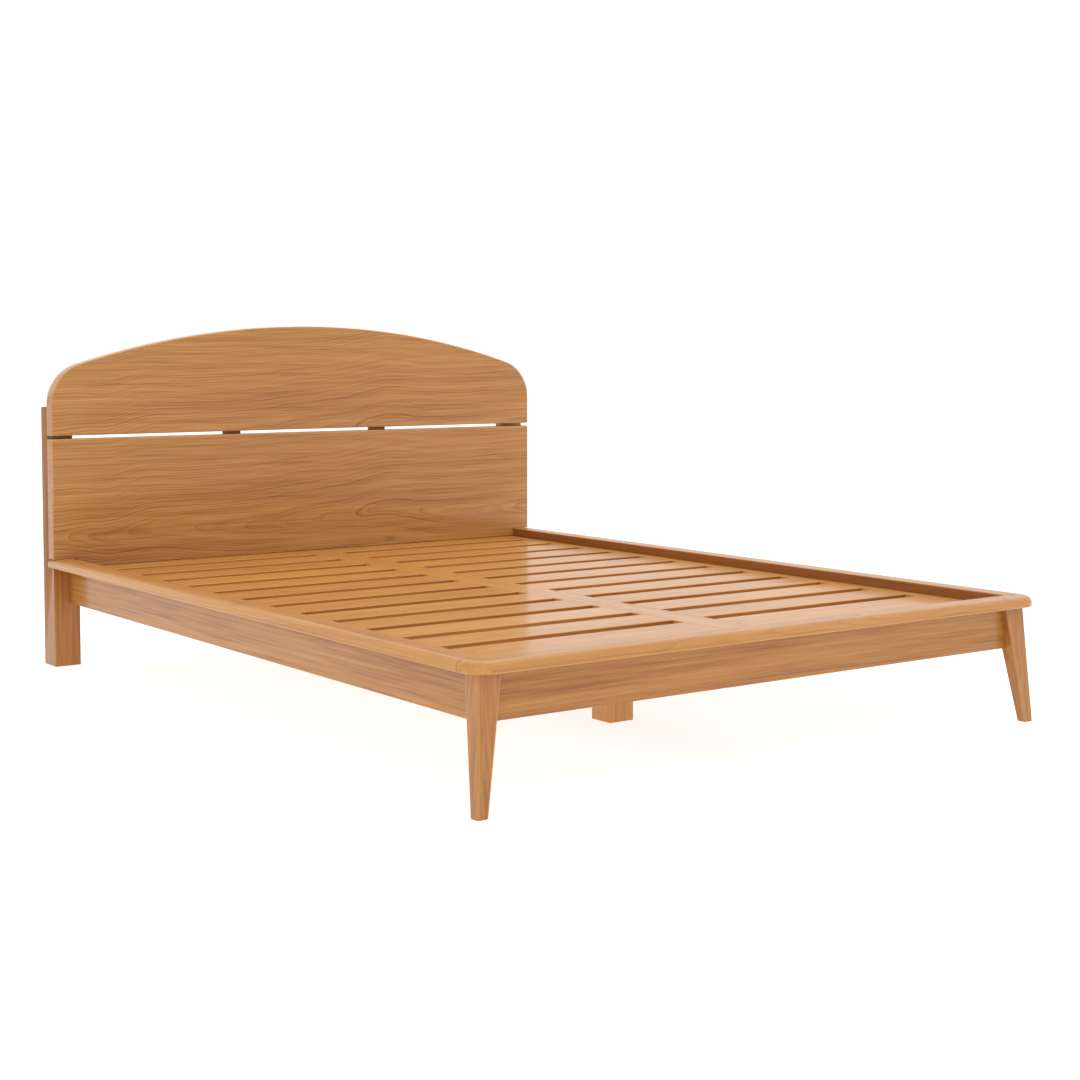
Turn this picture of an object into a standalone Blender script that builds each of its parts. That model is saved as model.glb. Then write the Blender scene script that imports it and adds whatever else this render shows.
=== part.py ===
"""A queen size wooden bed frame with an arched two-board headboard and a slatted deck.

Metres, +Z up. X runs across the bed, the foot end is at -Y, and the headboard is at +Y.
The origin is on the floor, under the centre of the bed.
"""
import math

import bmesh
import bpy

# Driving dimensions
FIT_GAP = 0.0003            # clearance between two pieces that touch
BED_LENGTH = 2.210
PLATFORM_HALF_WIDTH = 0.825
HEADBOARD_HALF_WIDTH = 0.8224
DECK_TOP = 0.280            # the slats' upper face, level with the caps' underside

CAP_WIDTH = 0.062
CAP_THICKNESS = 0.025
CAP_CORNER_RADIUS = 0.058

APRON_INSET = 0.050         # from the cap's outer edge to the apron's outer face
APRON_THICKNESS = 0.025
APRON_BOTTOM = 0.178

PANEL_THICKNESS = 0.040
POST_DEPTH_BEHIND_PANEL = 0.041
POST_WIDTH = 0.076
POST_TOP = 0.7355
LOWER_PANEL_TOP = 0.6455
UPPER_PANEL_BOTTOM = 0.6545
ARCH_TOP = 0.968
ARCH_RADIUS = 2.500
SHOULDER_RADIUS = 0.125

BATTEN_WIDTH = 0.050
BATTEN_DEPTH = 0.024
BATTEN_OFFSET = 0.2525
BATTEN_BOTTOM = 0.430
BATTEN_TOP = 0.870

SLAT_COUNT = 14
SLAT_WIDTH = 0.110
SLAT_GAP = 0.0427
SLAT_THICKNESS = 0.018
FIRST_SLOT_SHIFT = 0.013    # how much nearer the foot the first slot is, hidden behind the cap
DECK_CENTRE_Y = -0.016
CENTRE_STILE_WIDTH = 0.088
SIDE_STILE_WIDTH = 0.027

BEAM_WIDTH = 0.130
BEAM_HEIGHT = 0.040
CRADLE_WALL = 0.030
CENTRE_LEG_SIZE = 0.073
CENTRE_LEG_FOOT_Y = -0.480
CENTRE_LEG_HEAD_Y = 0.450
LEDGER_WIDTH = 0.050
LEDGER_HEIGHT = 0.030

# Foot leg sections: inner and outer edge from the bed's middle, front and back edge from its foot
LEG_TOP_SECTION = (0.7355, 0.7960, 0.0325, 0.0797)
LEG_FLOOR_SECTION = (0.7830, 0.8110, 0.0100, 0.0370)

BOLT_SHAFT_RADIUS = 0.004
BOLT_HEAD_RADIUS = 0.0095
BOLT_HEAD_HEIGHT = 0.006
BOLT_HOLE_RADIUS = 0.0045
COUNTERBORE_RADIUS = 0.011
COUNTERBORE_DEPTH = 0.010
BOLT_REACH = 0.148          # from under the head to the tip
BOLT_HEIGHTS = {"lower": 0.204, "upper": 0.250}

# Places worked out from the dimensions above
FOOT_FACE = -BED_LENGTH / 2
HEAD_BACK = BED_LENGTH / 2
PANEL_BACK = HEAD_BACK - POST_DEPTH_BEHIND_PANEL
PANEL_FRONT = PANEL_BACK - PANEL_THICKNESS
CAP_INNER = PLATFORM_HALF_WIDTH - CAP_WIDTH
CAP_TOP = DECK_TOP + CAP_THICKNESS
FRAME_TOP = DECK_TOP - FIT_GAP
SLAT_BOTTOM = DECK_TOP - SLAT_THICKNESS
SUPPORT_TOP = SLAT_BOTTOM - FIT_GAP
APRON_OUTER = PLATFORM_HALF_WIDTH - APRON_INSET
APRON_INNER = APRON_OUTER - APRON_THICKNESS
FOOT_APRON_FRONT = FOOT_FACE + APRON_INSET
FOOT_APRON_BACK = FOOT_APRON_FRONT + APRON_THICKNESS
POST_INNER = HEADBOARD_HALF_WIDTH - POST_WIDTH
DECK_FOOT = FOOT_FACE + LEG_TOP_SECTION[3] + 2 * FIT_GAP
DECK_HEAD = PANEL_FRONT - FIT_GAP
BEAM_BOTTOM = SUPPORT_TOP - BEAM_HEIGHT

SIDES = {"left": -1, "right": 1}


# Collections, materials and small helpers

def new_collection(name):
    collection = bpy.data.collections.new(name)
    bpy.context.scene.collection.children.link(collection)
    return collection


def move_to(obj, collection):
    for owner in list(obj.users_collection):
        owner.objects.unlink(obj)
    collection.objects.link(obj)


def new_material(name, colour, roughness, metallic):
    material = bpy.data.materials.new(name)
    material.use_nodes = True
    shader = material.node_tree.nodes["Principled BSDF"]
    shader.inputs["Base Color"].default_value = (*colour, 1.0)
    shader.inputs["Roughness"].default_value = roughness
    shader.inputs["Metallic"].default_value = metallic
    return material


def add_bevel(obj, width, segments):
    bevel = obj.modifiers.new("eased_edges", "BEVEL")
    bevel.width = width
    bevel.segments = segments
    bevel.limit_method = "ANGLE"
    bevel.angle_limit = math.radians(40)


def make_part(obj, name, colour, bevel_width=0.0, bevel_segments=1, roughness=0.35, metallic=0.0):
    obj.name = name
    obj.data.name = name
    move_to(obj, parts)
    obj.data.materials.clear()
    obj.data.materials.append(new_material(name, colour, roughness, metallic))
    if bevel_width:
        add_bevel(obj, bevel_width, bevel_segments)
    return obj


def make_cutter(obj, name):
    obj.name = name
    move_to(obj, cutters)
    obj.hide_render = True
    obj.display_type = "WIRE"
    return obj


def cut(target, cutter):
    boolean = target.modifiers.new("cut_" + cutter.name, "BOOLEAN")
    boolean.operation = "DIFFERENCE"
    boolean.solver = "EXACT"
    boolean.object = cutter


def box(low, high):
    centre = [(a + b) / 2 for a, b in zip(low, high)]
    bpy.ops.mesh.primitive_cube_add(size=1.0, location=centre)
    obj = bpy.context.active_object
    obj.scale = [b - a for a, b in zip(low, high)]
    bpy.ops.object.transform_apply(location=False, rotation=False, scale=True)
    return obj


def mirrored_box(side, inner, outer, y_low, y_high, z_low, z_high):
    edges = sorted((side * inner, side * outer))
    return box((edges[0], y_low, z_low), (edges[1], y_high, z_high))


def outline_solid(points, plane, start, end):
    """A flat outline made solid. plane XY is extruded along Z, XZ along Y and YZ along X."""
    curve = bpy.data.curves.new("outline", "CURVE")
    curve.dimensions = "2D"
    curve.fill_mode = "BOTH"
    curve.extrude = (end - start) / 2
    spline = curve.splines.new("POLY")
    spline.points.add(len(points) - 1)
    for spline_point, (u, v) in zip(spline.points, points):
        spline_point.co = (u, v, 0.0, 1.0)
    spline.use_cyclic_u = True
    guide = bpy.data.objects.new("outline", curve)
    bpy.context.scene.collection.objects.link(guide)
    middle = (start + end) / 2
    if plane == "XY":
        guide.location = (0.0, 0.0, middle)
    elif plane == "XZ":
        guide.location = (0.0, middle, 0.0)
        guide.rotation_euler = (math.pi / 2, 0.0, 0.0)
    else:
        guide.location = (middle, 0.0, 0.0)
        guide.rotation_euler = (math.pi / 2, 0.0, math.pi / 2)
    bpy.context.view_layer.update()
    evaluated = guide.evaluated_get(bpy.context.evaluated_depsgraph_get())
    mesh = bpy.data.meshes.new_from_object(evaluated)
    work = bmesh.new()
    work.from_mesh(mesh)
    bmesh.ops.remove_doubles(work, verts=work.verts, dist=0.00001)
    bmesh.ops.recalc_face_normals(work, faces=work.faces)
    work.to_mesh(mesh)
    work.free()
    obj = bpy.data.objects.new("outline_solid", mesh)
    bpy.context.scene.collection.objects.link(obj)
    obj.matrix_world = guide.matrix_world
    bpy.data.objects.remove(guide)
    return obj


def arc(centre_u, centre_v, radius, start_degrees, end_degrees, steps):
    points = []
    for step in range(steps + 1):
        angle = math.radians(start_degrees + (end_degrees - start_degrees) * step / steps)
        points.append((centre_u + radius * math.cos(angle), centre_v + radius * math.sin(angle)))
    return points


# Headboard

def arched_outline():
    """The upper board: a flat bottom, upright sides, round shoulders and one long arch."""
    shoulder_x = HEADBOARD_HALF_WIDTH - SHOULDER_RADIUS
    arch_centre_z = ARCH_TOP - ARCH_RADIUS
    rise = math.sqrt((ARCH_RADIUS - SHOULDER_RADIUS) ** 2 - shoulder_x ** 2)
    shoulder_z = arch_centre_z + rise
    join = math.degrees(math.atan2(rise, shoulder_x))
    points = [(-HEADBOARD_HALF_WIDTH, UPPER_PANEL_BOTTOM), (HEADBOARD_HALF_WIDTH, UPPER_PANEL_BOTTOM)]
    points += arc(shoulder_x, shoulder_z, SHOULDER_RADIUS, 0, join, 10)
    points += arc(0.0, arch_centre_z, ARCH_RADIUS, join, 180 - join, 24)[1:-1]
    points += arc(-shoulder_x, shoulder_z, SHOULDER_RADIUS, 180 - join, 180, 10)
    return points


def cap_notch(name, side):
    """The notch in a bottom corner of the lower board, where it stands on a side cap."""
    notch = mirrored_box(side, CAP_INNER - FIT_GAP, HEADBOARD_HALF_WIDTH + 0.010,
                         PANEL_FRONT - 0.010, PANEL_BACK + 0.010,
                         DECK_TOP - 0.010, CAP_TOP + FIT_GAP)
    return make_cutter(notch, name)


def batten_housing(name, x):
    """The groove that takes one batten, cut into the boards' backs and open to the rear."""
    half = BATTEN_WIDTH / 2 + FIT_GAP
    front = PANEL_BACK - BATTEN_DEPTH - FIT_GAP
    groove = box((x - half, front, BATTEN_BOTTOM - FIT_GAP),
                 (x + half, PANEL_BACK + 0.010, BATTEN_TOP + FIT_GAP))
    return make_cutter(groove, name)


def build_headboard():
    colour = (0.47, 0.25, 0.10)
    upper = outline_solid(arched_outline(), "XZ", PANEL_FRONT, PANEL_BACK)
    make_part(upper, "headboard_upper_panel", colour, 0.003, 2)
    lower = box((-HEADBOARD_HALF_WIDTH, PANEL_FRONT, DECK_TOP),
                (HEADBOARD_HALF_WIDTH, PANEL_BACK, LOWER_PANEL_TOP))
    make_part(lower, "headboard_lower_panel", colour, 0.003, 2)
    for side_name, side in SIDES.items():
        x = side * BATTEN_OFFSET
        housing = batten_housing("batten_housing_" + side_name, x)
        cut(upper, housing)
        cut(lower, housing)
        cut(lower, cap_notch("cap_notch_" + side_name, side))
        batten = box((x - BATTEN_WIDTH / 2, PANEL_BACK - BATTEN_DEPTH, BATTEN_BOTTOM),
                     (x + BATTEN_WIDTH / 2, PANEL_BACK, BATTEN_TOP))
        make_part(batten, "headboard_batten_" + side_name, (0.40, 0.20, 0.08), 0.001)


def post_outline():
    """The post from the side: a full-depth leg, stepped back behind the boards above the rail."""
    front = PANEL_BACK + FIT_GAP
    return [(PANEL_FRONT, 0.0), (HEAD_BACK, 0.0), (HEAD_BACK, POST_TOP),
            (front, POST_TOP), (front, FRAME_TOP), (PANEL_FRONT, FRAME_TOP)]


def build_posts():
    for side_name, side in SIDES.items():
        edges = sorted((side * POST_INNER, side * HEADBOARD_HALF_WIDTH))
        post = outline_solid(post_outline(), "YZ", edges[0], edges[1])
        make_part(post, "headboard_post_" + side_name, (0.48, 0.26, 0.11), 0.002)
        for level, height in BOLT_HEIGHTS.items():
            label = side_name + "_" + level
            cut(post, bolt_hole("post_bore_" + label, side, height))
            cut(post, counterbore("counterbore_" + label, side, height))


# Bed bolts, which hold the side aprons to the posts

def bolt_x(side):
    return side * (APRON_INNER + APRON_OUTER) / 2


def turned(points, name, location):
    """A profile of radius and height pairs, listed top to bottom, turned about +Y."""
    mesh = bpy.data.meshes.new(name)
    vertices = [(radius, 0.0, height) for radius, height in points]
    edges = [(index, index + 1) for index in range(len(points) - 1)]
    mesh.from_pydata(vertices, edges, [])
    obj = bpy.data.objects.new(name, mesh)
    bpy.context.scene.collection.objects.link(obj)
    obj.location = location
    obj.rotation_euler = (-math.pi / 2, 0.0, 0.0)
    screw = obj.modifiers.new("turned", "SCREW")
    screw.axis = "Z"
    screw.steps = 24
    screw.render_steps = 24
    screw.use_merge_vertices = True
    screw.merge_threshold = 0.0001
    return obj


def cylinder_along_y(radius, y_low, y_high, x, z, sides):
    bpy.ops.mesh.primitive_cylinder_add(
        vertices=sides, radius=radius, depth=y_high - y_low,
        location=(x, (y_low + y_high) / 2, z), rotation=(math.pi / 2, 0.0, 0.0))
    return bpy.context.active_object


def bolt_seat():
    return HEAD_BACK - COUNTERBORE_DEPTH


def bolt_hole(name, side, height):
    reach = bolt_seat() - BOLT_REACH - 0.005
    hole = cylinder_along_y(BOLT_HOLE_RADIUS, reach, HEAD_BACK + 0.010, bolt_x(side), height, 24)
    return make_cutter(hole, name)


def counterbore(name, side, height):
    recess = cylinder_along_y(COUNTERBORE_RADIUS, bolt_seat(), HEAD_BACK + 0.010,
                              bolt_x(side), height, 24)
    return make_cutter(recess, name)


def build_bolts():
    head_top = BOLT_HEAD_HEIGHT
    profile = [(0.0, head_top), (BOLT_HEAD_RADIUS - 0.0015, head_top),
               (BOLT_HEAD_RADIUS, head_top - 0.0015), (BOLT_HEAD_RADIUS, 0.0),
               (BOLT_SHAFT_RADIUS, 0.0), (BOLT_SHAFT_RADIUS, -BOLT_REACH), (0.0, -BOLT_REACH)]
    for side_name, side in SIDES.items():
        for level, height in BOLT_HEIGHTS.items():
            label = side_name + "_" + level
            seat = bolt_seat() + FIT_GAP
            bolt = turned(profile, "bolt", (bolt_x(side), seat, height))
            make_part(bolt, "bed_bolt_" + label, (0.30, 0.29, 0.28), 0.0, 1, 0.4, 1.0)
            socket = cylinder_along_y(0.003, seat + head_top - 0.0035, seat + head_top + 0.005,
                                      bolt_x(side), height, 6)
            cut(bolt, make_cutter(socket, "hex_socket_" + label))


# Foot legs

def leg_section(height):
    """The foot leg's inner, outer, front and back edge at a height above the floor."""
    share = height / FRAME_TOP
    return [low + (high - low) * share for low, high in zip(LEG_FLOOR_SECTION, LEG_TOP_SECTION)]


def tapered_leg(side, z_low, z_high, clearance):
    """A four-sided leg that tapers and leans, made from a cube whose two ends are resized."""
    bpy.ops.mesh.primitive_cube_add(size=1.0, location=(0.0, 0.0, 0.0))
    obj = bpy.context.active_object
    for vertex in obj.data.vertices:
        height = z_high if vertex.co.z > 0 else z_low
        inner, outer, front, back = leg_section(height)
        x = outer + clearance if vertex.co.x * side > 0 else inner - clearance
        y = back + clearance if vertex.co.y > 0 else front - clearance
        vertex.co = (side * x, FOOT_FACE + y, height)
    return obj


def build_foot_legs():
    for side_name, side in SIDES.items():
        leg = tapered_leg(side, 0.0, FRAME_TOP, 0.0)
        make_part(leg, "foot_leg_" + side_name, (0.46, 0.24, 0.09), 0.004, 2)


# Aprons under the caps

def foot_apron_outline():
    """Seen from above: the front half reaches into the legs, the back half stops between them."""
    tongue_end = 0.765
    tongue_back = FOOT_FACE + 0.0597
    body_end = APRON_INNER - 2 * FIT_GAP
    half = [(tongue_end, FOOT_APRON_FRONT), (tongue_end, tongue_back),
            (body_end, tongue_back), (body_end, FOOT_APRON_BACK)]
    return half + [(-u, v) for u, v in reversed(half)]


def build_aprons():
    colour = (0.44, 0.23, 0.10)
    foot_apron = outline_solid(foot_apron_outline(), "XY", APRON_BOTTOM, FRAME_TOP)
    make_part(foot_apron, "foot_apron", colour, 0.0015)
    for side_name, side in SIDES.items():
        apron = mirrored_box(side, APRON_INNER, APRON_OUTER, FOOT_FACE + 0.060, DECK_HEAD,
                             APRON_BOTTOM, FRAME_TOP)
        make_part(apron, "side_apron_" + side_name, colour, 0.0015)
        leg_socket = tapered_leg(side, APRON_BOTTOM - 0.050, FRAME_TOP + 0.020, FIT_GAP)
        make_cutter(leg_socket, "leg_socket_" + side_name)
        cut(foot_apron, leg_socket)
        cut(apron, leg_socket)
        for level, height in BOLT_HEIGHTS.items():
            cut(apron, bolt_hole("apron_bore_" + side_name + "_" + level, side, height))
    head_apron = box((-POST_INNER + FIT_GAP, PANEL_FRONT + 0.0025, APRON_BOTTOM),
                     (POST_INNER - FIT_GAP, PANEL_BACK - 0.0025, FRAME_TOP))
    make_part(head_apron, "head_apron", colour, 0.0015)


def build_corner_blocks():
    """Glued blocks that brace each foot corner, notched around the leg."""
    inner_end = 0.680
    diagonal_start = FOOT_FACE + 0.100
    back = FOOT_FACE + 0.150
    against_apron = FOOT_APRON_BACK + FIT_GAP
    leg_inner = LEG_TOP_SECTION[0] - 2 * FIT_GAP
    leg_back = DECK_FOOT
    side_face = APRON_INNER - FIT_GAP
    outline = [(inner_end, against_apron), (leg_inner, against_apron), (leg_inner, leg_back),
               (side_face, leg_back), (side_face, back), (0.730, back), (inner_end, diagonal_start)]
    for side_name, side in SIDES.items():
        points = [(side * u, v) for u, v in outline]
        block = outline_solid(points, "XY", 0.195, SUPPORT_TOP)
        make_part(block, "corner_block_" + side_name, (0.52, 0.34, 0.18), 0.001)


# Caps, the flat rim around the mattress

def foot_cap_outline():
    """Full width, with its two outer corners rounded."""
    straight = PLATFORM_HALF_WIDTH - CAP_CORNER_RADIUS
    arc_y = FOOT_FACE + CAP_CORNER_RADIUS
    back = FOOT_FACE + CAP_WIDTH - FIT_GAP
    points = [(PLATFORM_HALF_WIDTH, back), (-PLATFORM_HALF_WIDTH, back)]
    points += arc(-straight, arc_y, CAP_CORNER_RADIUS, 180, 270, 14)
    points += arc(straight, arc_y, CAP_CORNER_RADIUS, 270, 360, 14)
    return points


def build_caps():
    colour = (0.49, 0.27, 0.11)
    foot_cap = outline_solid(foot_cap_outline(), "XY", DECK_TOP, CAP_TOP)
    make_part(foot_cap, "foot_cap", colour, 0.003, 2)
    for side_name, side in SIDES.items():
        cap = mirrored_box(side, CAP_INNER, PLATFORM_HALF_WIDTH, FOOT_FACE + CAP_WIDTH,
                           PANEL_BACK, DECK_TOP, CAP_TOP)
        make_part(cap, "side_cap_" + side_name, colour, 0.003, 2)


# Slatted deck and what carries it

def slat_edges():
    """The low and high Y of each slat, from the foot to the head."""
    pitch = SLAT_WIDTH + SLAT_GAP
    first_gap_centre = DECK_CENTRE_Y - pitch * (SLAT_COUNT - 2) / 2
    edges = [DECK_FOOT]
    for gap in range(SLAT_COUNT - 1):
        centre = first_gap_centre + gap * pitch
        if gap == 0:
            centre -= FIRST_SLOT_SHIFT
        edges += [centre - SLAT_GAP / 2, centre + SLAT_GAP / 2]
    edges.append(DECK_HEAD)
    return [(edges[2 * index], edges[2 * index + 1]) for index in range(SLAT_COUNT)]


def build_deck():
    stile_half = CENTRE_STILE_WIDTH / 2
    side_stile_inner = APRON_INNER - FIT_GAP - SIDE_STILE_WIDTH
    centre_stile = box((-stile_half, DECK_FOOT, SLAT_BOTTOM), (stile_half, DECK_HEAD, DECK_TOP))
    make_part(centre_stile, "centre_stile", (0.50, 0.28, 0.12), 0.001)
    for side_name, side in SIDES.items():
        stile = mirrored_box(side, side_stile_inner, APRON_INNER - FIT_GAP, DECK_FOOT, DECK_HEAD,
                             SLAT_BOTTOM, DECK_TOP)
        make_part(stile, "side_stile_" + side_name, (0.50, 0.28, 0.12), 0.001)
        for number, (y_low, y_high) in enumerate(slat_edges(), start=1):
            slat = mirrored_box(side, stile_half + FIT_GAP, side_stile_inner - FIT_GAP,
                                y_low, y_high, SLAT_BOTTOM, DECK_TOP)
            shade = 0.94 + 0.03 * ((number * 5 + side) % 4)
            colour = (0.52 * shade, 0.29 * shade, 0.12 * shade)
            make_part(slat, "slat_{}_{:02d}".format(side_name, number), colour, 0.0015)


def cradle_outline():
    """A block with a slot in its top, seen along the bed: it holds one end of the centre beam."""
    inner = BEAM_WIDTH / 2 + FIT_GAP
    outer = inner + CRADLE_WALL
    floor = BEAM_BOTTOM - FIT_GAP
    half = [(outer, floor - CRADLE_WALL), (outer, SUPPORT_TOP), (inner, SUPPORT_TOP), (inner, floor)]
    return half + [(-u, v) for u, v in reversed(half)]


def build_deck_supports():
    colour = (0.52, 0.34, 0.18)
    half = BEAM_WIDTH / 2
    beam_foot = FOOT_APRON_BACK + FIT_GAP
    beam_head = PANEL_FRONT + 0.0025 - FIT_GAP
    beam = box((-half, beam_foot, BEAM_BOTTOM), (half, beam_head, SUPPORT_TOP))
    make_part(beam, "centre_beam", colour, 0.0015)
    for end, start in {"foot": beam_foot, "head": beam_head - CRADLE_WALL}.items():
        cradle = outline_solid(cradle_outline(), "XZ", start, start + CRADLE_WALL)
        make_part(cradle, "beam_cradle_" + end, colour, 0.001)
    leg_half = CENTRE_LEG_SIZE / 2
    for end, y in {"foot": CENTRE_LEG_FOOT_Y, "head": CENTRE_LEG_HEAD_Y}.items():
        leg = box((-leg_half, y - leg_half, 0.0), (leg_half, y + leg_half, BEAM_BOTTOM - FIT_GAP))
        make_part(leg, "centre_leg_" + end, (0.46, 0.24, 0.10), 0.002)
    for side_name, side in SIDES.items():
        outer = APRON_INNER - FIT_GAP
        ledger = mirrored_box(side, outer - LEDGER_WIDTH, outer, FOOT_FACE + 0.150 + FIT_GAP,
                              DECK_HEAD, SUPPORT_TOP - LEDGER_HEIGHT, SUPPORT_TOP)
        make_part(ledger, "side_ledger_" + side_name, colour, 0.001)


for old_object in list(bpy.data.objects):
    bpy.data.objects.remove(old_object)
parts = new_collection("bed_frame")
cutters = new_collection("bed_frame_cutters")
build_headboard()
build_posts()
build_bolts()
build_foot_legs()
build_aprons()
build_corner_blocks()
build_caps()
build_deck()
build_deck_supports()
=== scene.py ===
import math
import random

import bpy
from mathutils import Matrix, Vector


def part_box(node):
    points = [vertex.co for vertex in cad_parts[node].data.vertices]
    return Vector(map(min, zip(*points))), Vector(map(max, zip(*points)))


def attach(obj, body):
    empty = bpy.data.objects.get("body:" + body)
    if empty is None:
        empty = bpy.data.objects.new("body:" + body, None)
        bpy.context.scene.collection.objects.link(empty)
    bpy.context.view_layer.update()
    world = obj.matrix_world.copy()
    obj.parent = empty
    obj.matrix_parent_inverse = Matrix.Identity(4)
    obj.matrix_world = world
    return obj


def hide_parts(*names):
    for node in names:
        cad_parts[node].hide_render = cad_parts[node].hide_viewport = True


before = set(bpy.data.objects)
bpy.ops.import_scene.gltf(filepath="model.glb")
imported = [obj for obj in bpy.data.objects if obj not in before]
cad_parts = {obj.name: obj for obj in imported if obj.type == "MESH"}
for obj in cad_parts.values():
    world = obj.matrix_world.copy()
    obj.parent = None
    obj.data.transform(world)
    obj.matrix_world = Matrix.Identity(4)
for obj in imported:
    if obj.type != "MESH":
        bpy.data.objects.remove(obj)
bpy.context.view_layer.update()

print("frame loaded, nodes:", len(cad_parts))


# camera, floor and light

viewSettings = {
    "place": (-2.738, -3.9565, 0.896),
    "turnDown": 3.62,           # degrees below level
    "turnRight": 35.94,         # degrees from looking along the bed
    "lens": 61.22,
    "shiftY": -0.0682,
    "floorSize": 60.0,
    "floorDrop": 0.0005,        # keeps the floor just clear of the feet
    "floorColour": (0.50, 0.50, 0.50, 1.0),
    "floorRoughness": 0.9, "floorShine": 0.1, "floorGlow": 0.75,
    "skyStrength": 1.0,
    "lampPlace": (0.5, 0.0, 4.5), "lampTarget": (0.0, 0.0, 0.3),
    "lampSize": 4.0, "lampPower": 60.0, "lampColour": (1.0, 0.98, 0.94),
}


def makeView(s):
    cameraData = bpy.data.cameras.new("bedCamera")
    cameraData.lens = s["lens"]
    cameraData.shift_y = s["shiftY"]
    camera = bpy.data.objects.new("bedCamera", cameraData)
    camera.location = s["place"]
    camera.rotation_euler = (math.radians(90 - s["turnDown"]), 0, -math.radians(s["turnRight"]))
    bpy.context.scene.collection.objects.link(camera)
    bpy.context.scene.camera = camera
    bpy.context.scene.view_settings.view_transform = "Standard"


def makeFloor(s):
    clearSelection()
    bpy.ops.mesh.primitive_plane_add(size=s["floorSize"], location=(0, 0, -s["floorDrop"]))
    floor = bpy.context.active_object
    floor.name = "studioFloor"
    finish = bpy.data.materials.new("paleFloor")
    n = Nodes(finish)
    n.shader.inputs["Base Color"].default_value = s["floorColour"]
    n.shader.inputs["Roughness"].default_value = s["floorRoughness"]
    n.shader.inputs["Specular IOR Level"].default_value = s["floorShine"]
    n.shader.inputs["Emission Color"].default_value = (1.0, 1.0, 1.0, 1.0)
    n.shader.inputs["Emission Strength"].default_value = s["floorGlow"]
    # seen from below the floor lets the view through, so that the underside can be looked at
    fromBelow = n.add("ShaderNodeNewGeometry", {}, {}, "Backfacing")
    solid = Wire(n, n.shader.outputs[0])
    clear = n.add("ShaderNodeBsdfTransparent")
    either = n.add("ShaderNodeMixShader", {}, {0: fromBelow, 1: solid, 2: clear})
    n.put(n.tree.nodes["Material Output"].inputs["Surface"], either)
    floor.data.materials.append(finish)


def makeSky(s):
    world = bpy.data.worlds.new("studioSky")
    world.use_nodes = True
    backdrop = world.node_tree.nodes["Background"]
    backdrop.inputs["Color"].default_value = (1.0, 1.0, 1.0, 1.0)
    backdrop.inputs["Strength"].default_value = s["skyStrength"]
    bpy.context.scene.world = world


def makeLamp(s):
    lampData = bpy.data.lights.new("skyLamp", "AREA")
    lampData.shape = "DISK"
    lampData.size = s["lampSize"]
    lampData.energy = s["lampPower"]
    lampData.color = s["lampColour"]
    lamp = bpy.data.objects.new("skyLamp", lampData)
    lamp.location = s["lampPlace"]
    aim = [t - p for t, p in zip(s["lampTarget"], s["lampPlace"])]
    flat = math.hypot(aim[0], aim[1])
    lamp.rotation_euler = (math.atan2(flat, -aim[2]), 0, math.atan2(aim[1], aim[0]) - math.pi / 2)
    bpy.context.scene.collection.objects.link(lamp)


# small helpers for the boards

sharpAngle = 40     # degrees: edges sharper than this are eased
slantLimit = 0.97   # a face whose normal leans further than this off every axis counts as slanted


def clearSelection():
    if bpy.context.object and bpy.context.object.mode != "OBJECT":
        bpy.ops.object.mode_set(mode="OBJECT")
    bpy.ops.object.select_all(action="DESELECT")


def makeActive(obj):
    clearSelection()
    obj.select_set(True)
    bpy.context.view_layer.objects.active = obj


def applyModifiers(obj):
    makeActive(obj)
    for modifier in list(obj.modifiers):
        bpy.ops.object.modifier_apply(modifier=modifier.name)


def cornersOf(nodeName):
    low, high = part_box(nodeName)
    return [float(c) for c in low], [float(c) for c in high]


def easeEdges(obj, width, steps):
    # the bevel's own faces come out with material index 1, which paintWear reads and clears
    bevel = obj.modifiers.new("easedEdges", "BEVEL")
    bevel.width = width
    bevel.segments = steps
    bevel.limit_method = "ANGLE"
    bevel.angle_limit = math.radians(sharpAngle)
    bevel.material = 1
    applyModifiers(obj)


def levelNormals(obj):
    # wide faces stay flat, and only the rounded edges turn the light
    if not obj.data.attributes.get("sharp_edge"):
        makeActive(obj)
        bpy.ops.object.shade_smooth()
    weighted = obj.modifiers.new("levelNormals", "WEIGHTED_NORMAL")
    weighted.mode = "FACE_AREA"
    weighted.weight = 50
    weighted.keep_sharp = True
    applyModifiers(obj)


def paintWear(obj):
    mesh = obj.data
    wear = mesh.attributes.new("edgeWear", "FLOAT", "CORNER")
    values = [0.0] * len(mesh.loops)
    for polygon in mesh.polygons:
        slanted = max(abs(c) for c in polygon.normal) < slantLimit
        if polygon.material_index == 1 or slanted:
            for loop in polygon.loop_indices:
                values[loop] = 1.0
        polygon.material_index = 0
    wear.data.foreach_set("value", values)


def paintShadedSides(obj, wanted):
    # painted shade: the sides that stand in shade, such as the slot walls between the slats, come out
    # darker
    mesh = obj.data
    shadedSide = mesh.attributes.new("sawnSide", "FLOAT", "CORNER")
    values = [0.0] * len(mesh.loops)
    for polygon in mesh.polygons:
        if wanted(polygon.center, polygon.normal):
            for loop in polygon.loop_indices:
                values[loop] = 1.0
    shadedSide.data.foreach_set("value", values)


def markBoard(obj, low, high, seed):
    # every board carries its own middle and its own number, so no two show the same grain
    mesh = obj.data
    middle = [-(a + b) / 2 for a, b in zip(low, high)]
    place = mesh.attributes.new("boardPlace", "FLOAT_VECTOR", "POINT")
    place.data.foreach_set("vector", middle * len(mesh.vertices))
    number = mesh.attributes.new("boardSeed", "FLOAT", "POINT")
    number.data.foreach_set("value", [seed] * len(mesh.vertices))


def dress(obj, nodeName, wood):
    low, high = cornersOf(nodeName)
    levelNormals(obj)
    paintWear(obj)
    markBoard(obj, low, high, boardNumbers.uniform(0.0, 60.0))
    obj.data.materials.clear()
    obj.data.materials.append(wood)


def seat(obj, name, nodeName):
    obj.name = name
    obj.data.name = name
    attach(obj, "root")
    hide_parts(nodeName)


boardNumbers = random.Random(11)


# shader maths

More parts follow.
